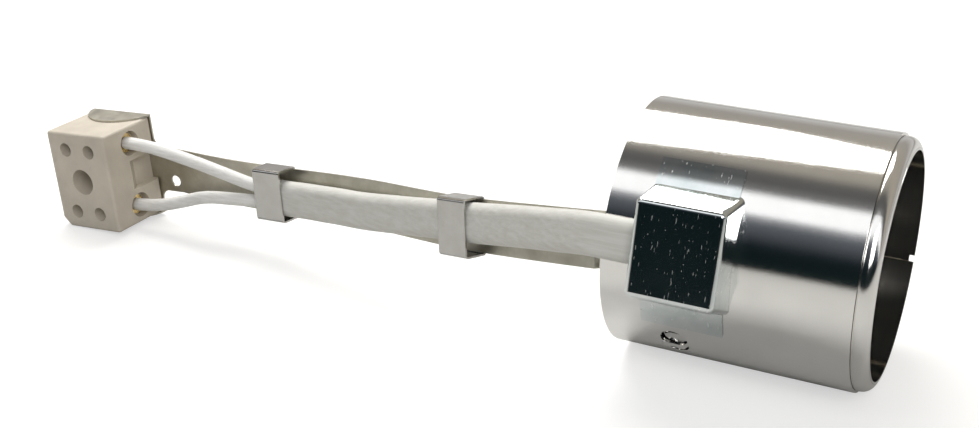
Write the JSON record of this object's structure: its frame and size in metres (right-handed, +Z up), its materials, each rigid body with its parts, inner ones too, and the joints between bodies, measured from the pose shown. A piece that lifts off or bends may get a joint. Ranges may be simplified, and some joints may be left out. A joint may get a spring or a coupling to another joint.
{
  "type": "nozzle band heater",
  "caption": "Sheet steel band heater for a nozzle, with a terminal cover, two sleeved leads on a bent support strip and a ceramic terminal block.",
  "frame": {"origin": "centre of the nozzle bore, half way along the casing", "axes": "+X along the bore to the mouth away from the terminal block, +Z up, -Y to the front where the terminal cover sits"},
  "size_m": [0.2438, 0.0847, 0.062],
  "materials": {
    "polished_steel": "polished",
    "band_steel": "satin",
    "plated_steel": "satin",
    "plated_screw": "polished",
    "mica": "matte",
    "resistance_ribbon": "satin",
    "brass": "satin",
    "steatite": "satin",
    "glass_braid": "matte",
    "lead_sleeve": "matte",
    "nickel_wire": "satin"
  },
  "bodies": {
    "heater": {"outer_band": "band_steel", "outer_sheath": "polished_steel", "inner_sheath": "polished_steel", "inner_mica": "mica", "outer_mica": "mica", "mica_former": "mica", "heating_ribbon": "resistance_ribbon", "terminal_cover": "polished_steel", "insulating_pad": "mica", "upper_ribbon_tab": "resistance_ribbon", "lower_ribbon_tab": "resistance_ribbon", "upper_crimp": "brass", "lower_crimp": "brass", "upper_conductor": "nickel_wire", "lower_conductor": "nickel_wire", "upper_lead_sleeve": "lead_sleeve", "lower_lead_sleeve": "lead_sleeve", "braided_sleeve": "glass_braid", "support_strip": "plated_steel", "block_clip": "plated_steel", "middle_clip": "plated_steel", "terminal_block": "steatite", "upper_brass_tube": "brass", "lower_brass_tube": "brass", "mounting_screw": "plated_screw", "mounting_nut": "plated_screw", "upper_clamp_ear": "plated_steel", "lower_clamp_ear": "plated_steel", "clamp_nut": "plated_screw"},
    "upper_supply_screw_body": {"upper_supply_screw": "plated_screw"},
    "lower_supply_screw_body": {"lower_supply_screw": "plated_screw"},
    "upper_heater_screw_body": {"upper_heater_screw": "plated_screw"},
    "lower_heater_screw_body": {"lower_heater_screw": "plated_screw"},
    "clamp_screw_body": {"clamp_screw": "plated_screw"}
  },
  "joints": [
    {"name": "upper_supply_screw_travel", "type": "slide", "parent": "heater", "child": "upper_supply_screw_body", "axis": [-0.0419, -0.9991, 0], "range_m": [-0.0012, 0.0005]},
    {"name": "lower_supply_screw_travel", "type": "slide", "parent": "heater", "child": "lower_supply_screw_body", "axis": [-0.0419, -0.9991, 0], "range_m": [-0.0012, 0.0005]},
    {"name": "upper_heater_screw_travel", "type": "slide", "parent": "heater", "child": "upper_heater_screw_body", "axis": [-0.0419, -0.9991, 0], "range_m": [0, 0.0012]},
    {"name": "lower_heater_screw_travel", "type": "slide", "parent": "heater", "child": "lower_heater_screw_body", "axis": [-0.0419, -0.9991, 0], "range_m": [0, 0.0012]},
    {"name": "clamp_screw_travel", "type": "slide", "parent": "heater", "child": "clamp_screw_body", "axis": [0, 0.342, 0.9397], "range_m": [0, 0.006]}
  ]
}
